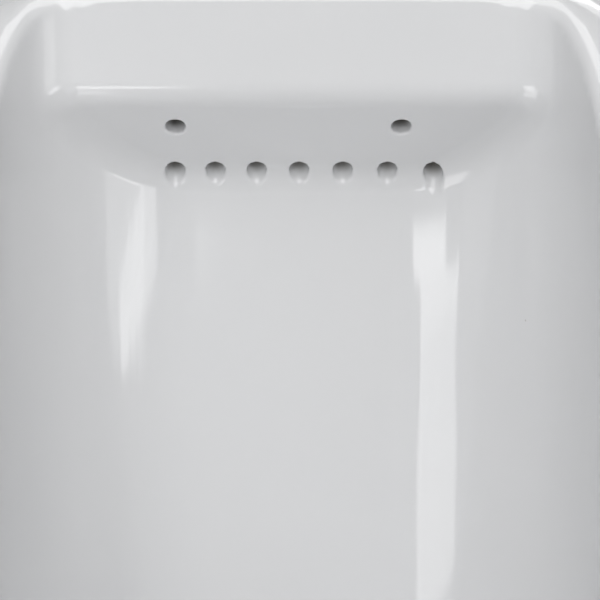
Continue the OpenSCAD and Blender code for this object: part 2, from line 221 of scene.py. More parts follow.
def block(x, d, z, low, high, radius):
    sides = cut_round(between(x, low[0], high[0]), between(d, low[1], high[1]), radius)
    return cut_round(sides, between(z, low[2], high[2]), radius)


def capsule(x, d, z, start, end, radius):
    start, end = np.array(start, np.float32), np.array(end, np.float32)
    run = end - start
    dots = (x - start[0]) * run[0] + (d - start[1]) * run[1] + (z - start[2]) * run[2]
    t = np.clip(dots / float(run @ run), 0, 1)
    near = [v - start[i] - t * run[i] for i, v in enumerate((x, d, z))]
    return np.sqrt(near[0] ** 2 + near[1] ** 2 + near[2] ** 2) - radius


def post(x, d, z, at_d, radius, low, high):
    """An upright cylinder in the middle plane."""
    return cut_round(np.sqrt(x * x + (d - at_d) ** 2) - radius, between(z, low, high), 1.0)


def bar(x, d, z, at_x, radius, low, high, edge=1.0):
    """A cylinder that stands out from the wall at the outlet's height."""
    return cut_round(np.sqrt((x - at_x) ** 2 + z * z) - radius, between(d, low, high), edge)


print("a 10 mm round cuts", round(float(cut_round(0, 0, 10)), 2), "mm off a square corner")

# %% [markdown]
# ## The outside and the bowl
#
# Both are read as upright slices that face the wall. A slice of the outside is a superellipse, and
# squarer above than below. A slice of the bowl is two upright sides on a rounded foot. A wall gets
# its thickness when the same curves are read a little smaller or larger, with `inset` or `grow`.


# %% Outside and bowl
def outside(x, d, z, inset=0.0):
    s = d * BODY_D / (BODY_D - inset)
    half = np.maximum(outer_half(s) - inset, 0.5)
    top, low = outer_top(s) - inset, outer_bottom(s) + inset
    middle, reach = (top + low) / 2, np.maximum((top - low) / 2, 0.5)
    v = (z - middle) / reach
    power = np.where(v > 0, mix(6.0, 3.5, np.clip(s / BODY_D, 0, 1)), 2.6)
    ring = ring_field(x / half, v, power, np.sqrt(x * x + (z - middle) ** 2), half)
    return np.maximum(ring, s - BODY_D)


FLOOR_INSET = 4.0
LIP_INSET = 5.0


def bowl(x, d, z, grow=0.0):
    span = LIP_CREST - BOWL_BACK
    s = (d + grow + 2 * grow * BOWL_BACK / span) / (1 + 2 * grow / span)
    half = bowl_half(s) + grow
    # The floor stands upright at both its ends, so it is read a little way in from them.
    s = np.clip(s, BOWL_BACK + FLOOR_INSET if grow else 0, LIP_INNER - LIP_INSET)
    low, foot = bowl_floor(s) - grow, bowl_foot(s)
    down = np.maximum(foot - z, 0)
    return ring_field(x / half, down / (foot - low), 2.3, np.sqrt(x * x + down * down), half)


print("at the lip the outside is", round(2 * float(outer_half(LIP_CREST)), 1), "mm wide")

# %% [markdown]
# ## The flush box
#
# The box at the top of the bowl's back is cast in one with it. Its front is flat, its underside
# slopes at 45 degrees, and a chamber inside it fills with flush water, which leaves by the wash
# holes. It could be a block with bevels. A few planes joined by rounds do the same here, and the
# chamber is the same planes again, moved in by the china's thickness.

# %% Flush box and its chamber
ROOT2 = np.float32(math.sqrt(2))
COS_45 = 0.7071
BOX_EDGE_R = 14.0


def flush_box(x, d, z):
    under = cut_round((d + UNDER_Z - z) / ROOT2, BOX_FLAT_Z - z, 6.0, COS_45)
    front = cut_round(d - BOX_FRONT, under, BOX_EDGE_R, COS_45)
    return cut_round(front, np.abs(x) - BOX_W / 2, 4.0)


def chamber(x, d, z):
    slope = UNDER_Z + CHINA_T * ROOT2
    room = cut_round((d + slope - z) / ROOT2, BOX_FLAT_Z + CHINA_T - z, 4.0, COS_45)
    room = cut_round(room, d - (BOX_FRONT - CHINA_T), 4.0, COS_45)
    room = cut_round(room, CHINA_T - d, 4.0)
    room = cut_round(room, z - (TOP_FRONT - CHINA_T), 4.0)
    return cut_round(room, np.abs(x) - (BOX_W / 2 - BOX_SIDE_T), 6.0)


print("the box is", BOX_W, "mm wide with its ends in the walls, and its chamber", BOX_W - 2 * BOX_SIDE_T)

# %% [markdown]
# ## The trap
#
# Waste water runs down from the strainer, along the bottom and up again to the outlet. What stays
# in the bend keeps the drain's smell out. Such a pipe could be a curve with a round bevel. Here it
# is a chain of capsules, because the field then grows by a wall's thickness and gives the china
# round the pipe as well.

# %% Trap
MOUTH_Z = -40


def trap(x, d, z, grow=0.0):
    r, low = TRAP_D / 2 + grow, -TRAP_LOW
    legs = [
        capsule(x, d, z, (0, DRAIN_D, low), (0, RISER_D, low), r),
        capsule(x, d, z, (0, DRAIN_D, low), (0, DRAIN_D, MOUTH_Z), r),
        capsule(x, d, z, (0, RISER_D, low), (0, RISER_D, 0), r),
    ]
    outlet = capsule(x, d, z, (0, RISER_D, 0), (0, -30, 0), OUTLET_D / 2 + grow)
    return join_round(np.minimum(np.minimum(legs[0], legs[1]), legs[2]), outlet, 3.0)


print("the trap's lowest point is", TRAP_LOW + TRAP_D / 2, "mm under the outlet's middle")

# %% [markdown]
# ## The wash holes
#
# The holes are punched by hand while the clay is soft, so the row isn't quite even. Seven are
# punched steeply upwards in the corner under the box, and two more go in square to its slope. Each
# one is a leaning tube, cut off above and below.

# %% Wash holes
UPPER_HOLES_X = (-51.0, 44.5)
PUNCH_BELOW, PUNCH_ABOVE = -24, 18


def hole_axes():
    """(x, distance from the wall, height, lean) where each punch crosses the underside."""
    reach = HOLE_N // 2
    row = [1.3 + HOLE_PITCH * i + 0.25 * i * i for i in range(-reach, reach + 1)]
    upper_d = BOX_FRONT - UPPER_DROP
    return [(x, BOWL_BACK + 2, BOX_LOW - BOX_PROUD + 3, HOLE_LEAN) for x in row] + [
        (x, upper_d, upper_d + UNDER_Z, 45.0) for x in UPPER_HOLES_X
    ]


def wash_holes(x, d, z):
    nearest = None
    for at_x, at_d, at_z, lean in hole_axes():
        s, c = math.sin(math.radians(lean)), math.cos(math.radians(lean))
        along = (z - at_z) * c - (d - at_d) * s
        aside = (d - at_d) * c + (z - at_z) * s
        tube = np.sqrt((x - at_x) ** 2 + aside**2) - HOLE_D / 2
        tube = np.maximum(tube, between(along, PUNCH_BELOW, PUNCH_ABOVE))
        nearest = tube if nearest is None else np.minimum(nearest, tube)
    return nearest


print("wash holes:", len(hole_axes()))

# %% [markdown]
# ## The hollow behind the bowl
#
# Such a body is a shell, open to the wall, so that it dries and fires evenly and there is room for
# a wrench. The hollow is the outside read smaller, less the bowl read larger. The flush box, the
# trap's walls, the boss under the strainer, the outlet's web and the ledges that the hangers hold
# all count as material inside it.

# %% Field of the hollow
OUTLET_FACE = FLANGE_T + GASKET_T
WEB_FRONT = OUTLET_FACE + 14.0
WEB_HALF = 11.0
LEDGE_DEEP = 42.0
DRAIN_BOSS = (48, -65, -35)


def hollow(x, d, z):
    inner = np.maximum(bowl(x, d, z, CHINA_T), BOWL_BACK - CHINA_T - d)
    inner = np.maximum(inner, d - (LIP_CREST - 6))
    room = cut_round(outside(x, d, z, CHINA_T), -inner, 4.0)
    room = cut_round(room, -flush_box(x, d, z), 4.0)
    kept = np.maximum(trap(x, d, z, TRAP_WALL), OUTLET_FACE - d)
    kept = join_round(kept, post(x, d, z, DRAIN_D, *DRAIN_BOSS), 4.0)
    kept = join_round(kept, bar(x, d, z, 0, FLANGE_D / 2, OUTLET_FACE, WEB_FRONT), 3.0)
    web = cut_round(between(d, OUTLET_FACE, WEB_FRONT), np.abs(z) - WEB_HALF, 2.0)
    ledge = cut_round(d - LEDGE_DEEP, between(z, LEDGE_Z, LEDGE_Z + LEDGE_T), 2.0)
    kept = join_round(join_round(kept, web, 3.0), ledge, 3.0)
    return cut_round(room, -kept, 3.0)


print("the outlet's web runs from", OUTLET_FACE, "to", WEB_FRONT, "mm from the wall")

# %% [markdown]
# ## The bowl's walls and rim
#
# Each round has its real size. The rim's is small at the top and large at the lip, where hands and
# cloths wear it. The fillet between the flush box and the bowl is wider at the sides, and the
# bowl's back runs into its floor with a long sweep.

# %% Field of the shell
BOSS_EDGE_H, LIP_EDGE_R = 14, 14.0
SWEEP_DEEP, SWEEP_LOW, SWEEP_HIGH = 12, 110, 160
FILLET_MIDDLE, FILLET_SIDE, FILLET_FROM, FILLET_TO = 11, 20, 55, 95
RIM_TOP_R, RIM_LIP_R, RIM_TOP_Z = 6.5, 16, 470


def rising(v, low, high):
    """0 below low, 1 above high, and straight between them."""
    return np.clip((v - low) / (high - low), 0, 1)


def shell(x, d, z):
    """The outside with its boss, less the bowl."""
    body = cut_round(levelled(outside, x, d, z), -d, 3.0)
    boss = cut_round(np.sqrt(x * x + (d - INLET_D) ** 2) - BOSS_R, z - BOSS_Z, 1.5)
    body = join_round(body, np.maximum(boss, BOSS_Z - BOSS_EDGE_H - z), 5.0)
    s = np.maximum(d, BOWL_BACK + SWEEP_DEEP * rising(z, SWEEP_LOW, SWEEP_HIGH))
    space = np.maximum(levelled(bowl, x, s, z), bowl_plan(x, d))
    space = cut_round(space, d - LIP_INNER, LIP_EDGE_R, 0.4)
    fillet = mix(FILLET_MIDDLE, FILLET_SIDE, rising(np.abs(x), FILLET_FROM, FILLET_TO))
    walls = join_round(-space, flush_box(x, d, z), fillet, 0.5)
    return cut_round(body, walls, mix(RIM_LIP_R, RIM_TOP_R, rising(z, LIP_Z, RIM_TOP_Z)))


# %% [markdown]
# ## What is cut through the walls
#
# The passages are the trap, the seat of the strainer, the inlet with a flat seat for its gasket,
# the chamber, two bolt holes, two notches for a wrench and two slots for the hangers. With `x`
# mirrored, one of a pair gives both. The wash holes are cut last, and only near where they are,
# because they are the costly ones.

# %% Field of the casting
def within(x, d, z, low, high):
    inside = (x > low[0]) & (x < high[0]) & (d > low[1]) & (d < high[1])
    return inside & (z > low[2]) & (z < high[2])


def notch(x, d, z):
    """The two openings in the underside, where a wrench reaches the outlet's nuts."""
    return block(np.abs(x), d, z, (39.3, OUTLET_FACE, -150), (77.3, WEB_FRONT + 30, -21), 2.0)


def passages(x, d, z):
    """Everything that is cut through the walls, apart from the wash holes, as one field."""
    mirrored = np.abs(x)
    slot_low = (HANGER_X - HANGER_W / 2 - 2, 25, LEDGE_Z - 1)
    slot_high = (HANGER_X + HANGER_W / 2 + 2, 32, LEDGE_Z + LEDGE_T + 2)
    cuts = [
        trap(x, d, z),
        post(x, d, z, DRAIN_D, STRAINER_D / 2 + FIT, PLATE_Z, PLATE_Z + 10),
        post(x, d, z, INLET_D, BOSS_R, SEAT_Z - 10, SEAT_Z),
        post(x, d, z, INLET_D, INLET_HOLE_D / 2 + 0.25, SEAT_Z - 5, BODY_TOP + 60),
        chamber(x, d, z),
        bar(mirrored, d, z, BOLT_PITCH / 2, BOLT_D / 2 + 1, -5, WEB_FRONT + 1),
        notch(x, d, z),
        block(mirrored, d, z, slot_low, slot_high, 1.0),
    ]
    nearest = cuts[0]
    for cut in cuts[1:]:
        nearest = np.minimum(nearest, cut)
    return nearest


LAND_EDGE_R, PASSAGE_EDGE_R, PUNCH_EDGE_R = 2.5, 1.2, 0.9
PUNCHED_BOX = ((-80, 60, 385), (80, 125, 452))


def casting(x, d, z):
    x, d, z = np.broadcast_arrays(x, d, z)
    body = cut_round(shell(x, d, z), -hollow(x, d, z), LAND_EDGE_R)
    body = cut_round(body, -passages(x, d, z), PASSAGE_EDGE_R)
    near = within(x, d, z, *PUNCHED_BOX)
    if near.any():
        punched_out = -wash_holes(x[near], d[near], z[near])
        body[near] = cut_round(body[near], punched_out, PUNCH_EDGE_R)
    return body


middle = np.array([[0.0, 200.0, 300.0], [0.0, BODY_D - LIP_R, LIP_Z - 8]])
print("the field in the bowl and in the lip:", [round(float(v), 1) for v in casting(*middle.T)])

# %% [markdown]
# ## From the field to a mesh
#
# The field is worked out on a grid of points. In each cell that the surface passes through lies one
# vertex, and each edge of the grid that it crosses gives one face: this is a surface net. The grid
# is fine where the wash holes are and coarser elsewhere, and Blender's Decimate then takes out
# what the flat and gently curved parts don't need. At last every vertex slides onto the surface
# along the field's slope, and the slope also gives the normals, so the glaze reflects smoothly.


# %% Grid and surface net
def grid_line(*spans):
    steps = [np.linspace(a, b, max(1, round((b - a) / h)), endpoint=False) for a, b, h in spans]
    return np.concatenate(steps + [[spans[-1][1]]]).astype(np.float32)


COARSE, FINE = 3.6, 1.1
grid = [
    grid_line((-186, -74, COARSE), (-74, 74, FINE), (74, 186, COARSE)),
    grid_line((-6, 73, COARSE), (73, 108, FINE), (108, 354, COARSE)),
    grid_line((-146, 395, COARSE), (395, 438, FINE), (438, 506, COARSE)),
]

print("points of the grid along x, d and z:", [len(line) for line in grid])


def sampled(field, lines):
    xs, ds, zs = lines
    values = np.empty([len(line) for line in lines], np.float32)
    for i in range(0, len(xs), 8):
        part = slice(i, i + 8)
        values[part] = field(xs[part, None, None], ds[None, :, None], zs[None, None, :])
    return values


# %% Surface net
def surface_net(values, lines):
    inside = values < 0
    shape = [n - 1 for n in values.shape]
    corners = [(a, b, c) for a in (0, 1) for b in (0, 1) for c in (0, 1)]

    def at(array, corner):
        return array[tuple(slice(o, o + n) for o, n in zip(corner, shape))]

    filled = sum(at(inside, c).astype(np.int8) for c in corners)
    cells = np.argwhere((filled > 0) & (filled < 8))
    index = np.full(shape, -1, np.int32)
    index[tuple(cells.T)] = np.arange(len(cells))
    # A cell's vertex is the mean of the points where its own 12 edges cross the surface.
    total, crossings = np.zeros((len(cells), 3)), np.zeros(len(cells))
    for a in corners:
        for axis in range(3):
            if a[axis]:
                continue
            b = tuple(1 if k == axis else a[k] for k in range(3))
            fa, fb = (values[tuple((cells + c).T)] for c in (a, b))
            hit = (fa < 0) != (fb < 0)
            t = fa[hit] / (fa[hit] - fb[hit])
            for k in range(3):
                low, high = (lines[k][cells[hit, k] + c[k]] for c in (a, b))
                total[hit, k] += low + (high - low) * t
            crossings[hit] += 1
    # An edge of the grid that crosses the surface joins the vertices of the four cells round it.
    faces = []
    for axis in range(3):
        others = [k for k in range(3) if k != axis]
        low = [slice(1, -1)] * 3
        low[axis] = slice(0, -1)
        high = list(low)
        high[axis] = slice(1, None)
        a, b = inside[tuple(low)], inside[tuple(high)]
        edges = np.argwhere(a != b)
        turn = b[tuple(edges.T)] ^ (axis == 1)
        for k in others:
            edges[:, k] += 1
        quad = []
        for du, dv in ((0, 0), (1, 0), (1, 1), (0, 1)):
            cell = edges.copy()
            cell[:, others[0]] -= du
            cell[:, others[1]] -= dv
            quad.append(index[tuple(cell.T)])
        quad = np.stack(quad, 1)
        faces.append(np.where(turn[:, None], quad, quad[:, ::-1]))
    return total / crossings[:, None], np.concatenate(faces)


# %% [markdown]
# ## Settling points on the surface
#
# A surface net is a little off, and Decimate moves points too. So each point slides along the
# field's slope until the field is 0 there. It may only move a short way in each round, because the
# field counts true millimetres only near the surface.

# %% Settle points on the surface
def slope_of(field, points, step=0.05):
    """The field and its slope at each point of an (n, 3) array of x, d and z."""
    here = field(*points.T)
    slope = np.empty_like(points)
    for k in range(3):
        move = np.zeros(3)
        move[k] = step
        slope[:, k] = (field(*(points + move).T) - field(*(points - move).T)) / (2 * step)
    return here, slope


def settled(field, points, furthest):
    for _ in range(3):
        here, slope = slope_of(field, points)
        steep = np.maximum(np.sqrt((slope**2).sum(1)), 0.2)
        move = np.clip(here / steep, -furthest, furthest)
        points = points - slope * (move / steep)[:, None]
    return points


# %% Meshes and objects
# From x, distance from the wall and height in millimetres to the frame's metres.
TO_ROW = np.array([MM, -MM, MM])


def new_mesh(name, points, faces):
    """A smooth mesh. All its faces have the same number of corners."""
    mesh = bpy.data.meshes.new(name)
    mesh.vertices.add(len(points))
    mesh.vertices.foreach_set("co", np.asarray(points, np.float32).ravel())
    mesh.loops.add(faces.size)
    mesh.loops.foreach_set("vertex_index", faces.ravel().astype(np.int32))
    mesh.polygons.add(len(faces))
    mesh.polygons.foreach_set("loop_start", np.arange(0, faces.size, faces.shape[1], dtype=np.int32))
    mesh.update(calc_edges=True)
    mesh.validate()
    smooth(mesh)
    return mesh


def smooth(mesh):
    mesh.polygons.foreach_set("use_smooth", np.ones(len(mesh.polygons), bool))


def new_object(name, mesh):
    piece = bpy.data.objects.new(name, mesh)
    scene.collection.objects.link(piece)
    return piece


def applied(piece):
    """The piece with its modifiers worked into a plain mesh."""
    graph = bpy.context.evaluated_depsgraph_get()
    mesh = bpy.data.meshes.new_from_object(piece.evaluated_get(graph))
    piece.modifiers.clear()
    piece.data = mesh
    return piece


def points_of(mesh):
    co = np.empty(len(mesh.vertices) * 3)
    mesh.vertices.foreach_get("co", co)
    return co.reshape(-1, 3)


# %% A piece from a field
def net_piece(name, field, lines, most, furthest=0.4, step=0.03, spared=None, box=None):
    """A piece from a field, with its points on the surface and its normals from the slope."""
    points, faces = surface_net(sampled(field, lines), lines)
    piece = new_object(name, new_mesh(name, points * TO_ROW, faces))
    thin_out = piece.modifiers.new("thin out", "DECIMATE")
    thin_out.ratio = min(1.0, most / (2 * len(faces)))
    if spared:
        group = piece.vertex_groups.new(name="may be thinned")
        group.add(np.flatnonzero(~within(*points.T, *spared)).tolist(), 1.0, "REPLACE")
        thin_out.vertex_group = group.name
    applied(piece)
    points = settled(field, points_of(piece.data) / TO_ROW, furthest)
    if box is not None:
        points = np.clip(points, *box)
    value, slope = slope_of(field, points, step)
    piece.data.vertices.foreach_set("co", (points * TO_ROW).astype(np.float32).ravel())
    piece.data.update()
    smooth(piece.data)
    normals = slope * np.array([1, -1, 1])
    normals /= np.maximum(np.linalg.norm(normals, axis=1), 1e-9)[:, None]
    piece.data.normals_split_custom_set_from_vertices(normals.astype(np.float32))
    print(name, "has a net of", len(faces), "faces, at most", round(float(np.abs(value).max()), 3), "mm off")
    return piece


# %% [markdown]
# ## The china
#
# Decimate leaves the wash holes alone, because their edges are what the eye looks for. No point of
# the china may lie past the box of its CAD solid.

# %% Mesh of the china
CHINA_TRIANGLES = 186_000
HOLES_BOX = ((-66, 75, 397), (66, 105, 435))

cad = np.sort([np.array(corner) / TO_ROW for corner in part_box("china_body")], axis=0)
china = net_piece("china_body_cast", casting, grid, CHINA_TRIANGLES, 1.5, 0.05, HOLES_BOX, cad)
print("the china has", len(china.data.polygons), "triangles")

# %% [markdown]
# ## Where the glaze stops
#
# Sanitary ware is sprayed with glaze from the front and stands on its back in the kiln, so the
# hollow behind the bowl and the lands that touch the wall are bare. The field of the hollow says
# how deep a point lies inside the casting, and that becomes an attribute on the mesh, from 0 on
# glaze to 1 on bare clay, which the material reads.

# %% Bare clay attribute
def add_attribute(mesh, name, values):
    mesh.attributes.new(name, "FLOAT", "POINT").data.foreach_set("value", values.astype(np.float32))


cast = points_of(china.data) / TO_ROW

# The glaze is wiped off the lands by hand, so its edge wanders between 1.3 and 3.1 mm from the wall.
wiped = 2.2 + 0.9 * np.sin(cast[:, 0] * 0.11) * np.sin(cast[:, 2] * 0.13 + 1)
in_hollow = np.clip((4 - hollow(*cast.T)) / 2.5, 0, 1)
on_land = np.clip((wiped - cast[:, 1]) / 1.2, 0, 1)
in_notch = np.clip(1.5 - notch(*cast.T), 0, 1)
bare = np.maximum(np.maximum(in_hollow, on_land), in_notch)
add_attribute(china.data, "bare", bare)
# How deep a point lies in a wash hole; the glaze reads this to paint shade inside the holes.
depth = np.where(np.abs(wash_holes(*cast.T)) < 0.6, -shell(*cast.T), 0)
add_attribute(china.data, "hole_depth", depth)
print("bare points:", int((bare > 0.5).sum()), "of", len(bare))

# %% [markdown]
# ## Shader maths
#
# A finish is a Principled BSDF whose colour, roughness and bump come from a few noises. Wiring Math
# nodes by hand hides the idea, so a socket is wrapped in a small class and the arithmetic is written
# as Python. Colours and vectors are not numbers: they are mixed, never added by a Math node.


# %% Arithmetic on sockets
class Value:
    """One output of a node that takes part in arithmetic."""

    def __init__(self, owner, socket):
        self.owner, self.socket = owner, socket

    def math(self, operation, *others):
        inputs = dict(enumerate((self, *others)))
        return self.owner.node("ShaderNodeMath", {"operation": operation}, inputs)

    def also(self, name):
        """Another output of the same node."""
        return Value(self.owner, self.socket.node.outputs[name])

    def __add__(self, other):
        return self.math("ADD", other)

    def __sub__(self, other):
        return self.math("SUBTRACT", other)

    def __rsub__(self, other):
        return self.owner.node("ShaderNodeMath", {"operation": "SUBTRACT"}, {0: other, 1: self})

    def __mul__(self, other):
        return self.math("MULTIPLY", other)

    __radd__, __rmul__ = __add__, __mul__

    def step(self, low, high):
        """0 below low, 1 above high, and smooth between them."""
        settings = {"interpolation_type": "SMOOTHSTEP", "clamp": True}
        inputs = {"Value": self, "From Min": low, "From Max": high}
        return self.owner.node("ShaderNodeMapRange", settings, inputs)


# %% Nodes of a tree, and a finish
class Nodes:
    """A node tree, with its nodes made by one method."""

    def __init__(self, tree):
        self.tree = tree

    def node(self, kind, settings=None, inputs=None, out=0):
        made = self.tree.nodes.new(kind)
        for name, value in (settings or {}).items():
            setattr(made, name, value)
        for name, value in (inputs or {}).items():
            self.feed(made.inputs[name], value)
        return Value(self, made.outputs[out]) if made.outputs else made

    def feed(self, socket, value):
        if isinstance(value, Value):
            self.tree.links.new(value.socket, socket)
        else:
            socket.default_value = value


class Finish(Nodes):
    """A material with one Principled BSDF."""

    def __init__(self, name, color, roughness, metallic=0.0, **constants):
        self.material = bpy.data.materials.new(name)
        self.material.use_nodes = True
        super().__init__(self.material.node_tree)
        self.shader = self.tree.nodes["Principled BSDF"]
        self.set(Roughness=roughness, Metallic=metallic, **{"Base Color": (*color, 1)}, **constants)
        self.place = self.node("ShaderNodeTexCoord", out="Object")

    def set(self, **inputs):
        for name, value in inputs.items():
            self.feed(self.shader.inputs[name.replace("_", " ")], value)

    def noise(self, size_mm, detail, stretch=None):
        """Cloudy noise from 0 to 1, with blobs of about this size in millimetres."""
        where = self.place
        if stretch:
            where = self.node("ShaderNodeMapping", None, {"Vector": where, "Scale": stretch})
        inputs = {"Vector": where, "Scale": 1000 / size_mm, "Detail": detail}
        return self.node("ShaderNodeTexNoise", None, inputs)

    def blend(self, amount, a, b):
        """From colour a to colour b by a value."""
        pick = lambda color: color if isinstance(color, Value) else (*color, 1)
        return self.node(
            "ShaderNodeMix",
            {"data_type": "RGBA", "clamp_factor": True},
            {0: amount, 6: pick(a), 7: pick(b)},
            out=2,
        )

    def bump(self, height_mm):
        """Relief from a value in millimetres."""
        return self.node("ShaderNodeBump", None, {"Height": height_mm, "Distance": MM, "Strength": 1.0})


finishes = {}
print("a wrapped socket takes part in +, -, * and a smooth step")

# %% [markdown]
# ## White glaze
#
# The glaze is a glassy skin about half a millimetre thick. It is nearly flawless, and what gives it
# away as fired china is small: the skin is slightly wavy, so long reflections wander. It has a fine
# orange-peel, it pools a little greyer where it ran, and here and there it has a pinhole. Where the
# attribute says so, the same material turns to bare clay: warm, matt and grainy.

# %% White glaze
glaze = Finish("white_glaze", (0.79, 0.792, 0.80), 0.07, IOR=1.62)
bare_clay = glaze.node("ShaderNodeAttribute", {"attribute_name": "bare"}, out="Fac").step(0.3, 0.7)
drift = glaze.noise(62, 1.0, stretch=(1.0, 1.0, 0.55))
cloud = glaze.noise(22, 3.0)
peel = glaze.noise(2.6, 2.0)
sand = glaze.noise(0.7, 3.0)
pool = glaze.blend(drift * 0.6 + cloud * 0.4, (0.775, 0.78, 0.79), (0.805, 0.805, 0.81))
clay = glaze.blend(sand, (0.50, 0.47, 0.42), (0.70, 0.67, 0.61))
cell = glaze.node(
    "ShaderNodeTexVoronoi", {"feature": "F1"}, {"Vector": glaze.place, "Scale": 1000 / 34}, out="Distance"
)
pinhole = 1 - cell.step(0.008, 0.016)
specks_and_hole_shade = glaze.blend(pinhole * 0.5, pool, (0.45, 0.43, 0.40))
# From 3 mm into a wash hole the colour darkens, and by 9 mm it is near black: painted shade inside the
# holes, darker than the bare clay.
hole_shade = glaze.node("ShaderNodeAttribute", {"attribute_name": "hole_depth"}, out="Fac").step(3.0, 9.0)
specks_and_hole_shade = glaze.blend(hole_shade, specks_and_hole_shade, (0.27, 0.26, 0.24))
skin = drift * 1.3 + peel * 0.0035 - pinhole * 0.05
glaze.set(
    Base_Color=glaze.blend(bare_clay, specks_and_hole_shade, clay),
    Roughness=0.065 + cloud * 0.03 + bare_clay * 0.6,
    Normal=glaze.bump((1 - bare_clay) * skin + bare_clay * sand * 0.12),
)
finishes["china_glaze"] = glaze.material


def finished(piece, slot, body, *nodes):
    """Gives the piece its finish, and lets it stand for its CAD nodes."""
    piece.data.materials.clear()
    piece.data.materials.append(finishes[slot])
    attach(piece, body)
    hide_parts(*nodes)
    print(piece.name, "has", len(piece.data.polygons), "faces")


finished(china, "china_glaze", "urinal", "china_body")

# %% [markdown]
# ## Metals and rubber
#
# Chrome plate shows what is around it, with faint polishing lines. The outlet flange is raw brass:
# cast, then dulled by handling. The strainer is turned stainless, so its brushing runs in circles,
# and noise on the distance from its centre gives those. Zinc plate is bluish, with a soft cloudy
# grain. Rubber is nearly black and its moulded skin is dull.

# %% Chrome plate
chrome = Finish("chrome_plate", (0.78, 0.785, 0.79), 0.12, metallic=1.0)
smear = chrome.noise(9, 3.0)
lines = chrome.noise(0.5, 2.0, stretch=(0.25, 0.25, 3.0))
chrome.set(
    Base_Color=chrome.blend(smear, (0.74, 0.745, 0.75), (0.82, 0.82, 0.82)),
    Roughness=0.07 + smear * 0.12 + lines * 0.05,
    Normal=chrome.bump(lines * 0.004),
)
finishes["plated_brass"] = chrome.material

# %% Raw brass
brass = Finish("raw_brass", (0.72, 0.55, 0.26), 0.35, metallic=1.0)
dull = brass.noise(14, 4.0)
pitted = brass.noise(1.1, 3.0)
brass.set(
    Base_Color=brass.blend(dull.step(0.35, 0.7), (0.72, 0.55, 0.26), (0.42, 0.29, 0.14)),
    Roughness=0.3 + dull * 0.3,
    Normal=brass.bump(pitted * 0.09 + dull * 0.1),
)
finishes["raw_brass"] = brass.material

# %% Turned stainless
steel = Finish("stainless", (0.62, 0.63, 0.64), 0.25, metallic=1.0)
from_drain = steel.node(
    "ShaderNodeVectorMath", {"operation": "ADD"}, {0: steel.place, 1: (0.0, DRAIN_D * MM, 0.0)}
)
flat = steel.node("ShaderNodeVectorMath", {"operation": "MULTIPLY"}, {0: from_drain, 1: (1, 1, 0)})
radius = steel.node("ShaderNodeVectorMath", {"operation": "LENGTH"}, {0: flat}, out="Value")
rings = steel.node(
    "ShaderNodeTexNoise", {"noise_dimensions": "1D"}, {"W": radius, "Scale": 3200.0, "Detail": 3.0}
)
scuff = steel.noise(6, 3.0)
steel.set(
    Base_Color=steel.blend(rings, (0.56, 0.57, 0.58), (0.68, 0.69, 0.70)),
    Roughness=0.2 + rings * 0.14 + scuff * 0.1,
    Normal=steel.bump(rings * 0.006 + scuff * 0.01),
)
finishes["stainless"] = steel.material

# %% Zinc plate
zinc = Finish("zinc_plate", (0.56, 0.57, 0.58), 0.35, metallic=1.0)
grain = zinc.noise(3.5, 3.0)
fleck = zinc.noise(0.8, 2.0)
zinc.set(
    Base_Color=zinc.blend(grain, (0.50, 0.52, 0.55), (0.63, 0.64, 0.64)),
    Roughness=0.28 + grain * 0.2,
    Normal=zinc.bump(fleck * 0.012),
)
finishes["zinc_steel"] = zinc.material

# %% Black rubber
rubber = Finish("black_rubber", (0.03, 0.03, 0.03), 0.6)
bloom = rubber.noise(7, 4.0)
mould = rubber.noise(0.5, 2.0)
rubber.set(
    Base_Color=rubber.blend(bloom, (0.022, 0.022, 0.022), (0.05, 0.048, 0.046)),
    Roughness=0.5 + bloom * 0.25,
    Normal=rubber.bump(mould * 0.02 + bloom * 0.03),
)
finishes["black_rubber"] = rubber.material
print("finishes:", sorted(finishes))

# %% [markdown]
# ## Turned pieces
#
# Rings, tubes, bolts and nuts are all turned round an axis, so one helper does them. It takes the
# outline of a section, rounds its corners and spins it. A shape function may then change the radius
# by angle and height, and that one idea gives both a thread, whose radius follows a helix, and the
# flats and chamfers of a hexagon.


# %% Turned pieces
SHARP = math.radians(38)


def rounded(corners, steps=4):
    """Outline points from (radius, height, rounding) corners. It closes unless it starts on the axis."""
    spots = np.array([c[:2] for c in corners], float)
    closed = spots[0][0] > 0
    outline = []
    for i, (r, h, rounding) in enumerate(corners):
        here = spots[i]
        if rounding == 0 or (not closed and i in (0, len(corners) - 1)):
            outline.append(here)
            continue
        back, ahead = spots[i - 1] - here, spots[(i + 1) % len(spots)] - here
        reach = min(rounding, 0.49 * np.hypot(*back), 0.49 * np.hypot(*ahead))
        a, b = here + back / np.hypot(*back) * reach, here + ahead / np.hypot(*ahead) * reach
        for t in np.linspace(0, 1, steps + 1):
            outline.append((1 - t) ** 2 * a + 2 * t * (1 - t) * here + t * t * b)
    return outline


def filled_in(outline, longest):
    """The outline with points added, so that no stretch of it is longer than this."""
    dense, closed = [], outline[0][0] > 0
    for i, here in enumerate(outline):
        dense.append(here)
        if i + 1 < len(outline) or closed:
            ahead = outline[(i + 1) % len(outline)]
            count = int(np.hypot(*(ahead - here)) / longest)
            dense += [here + (ahead - here) * k / (count + 1) for k in range(1, count + 1)]
    return dense


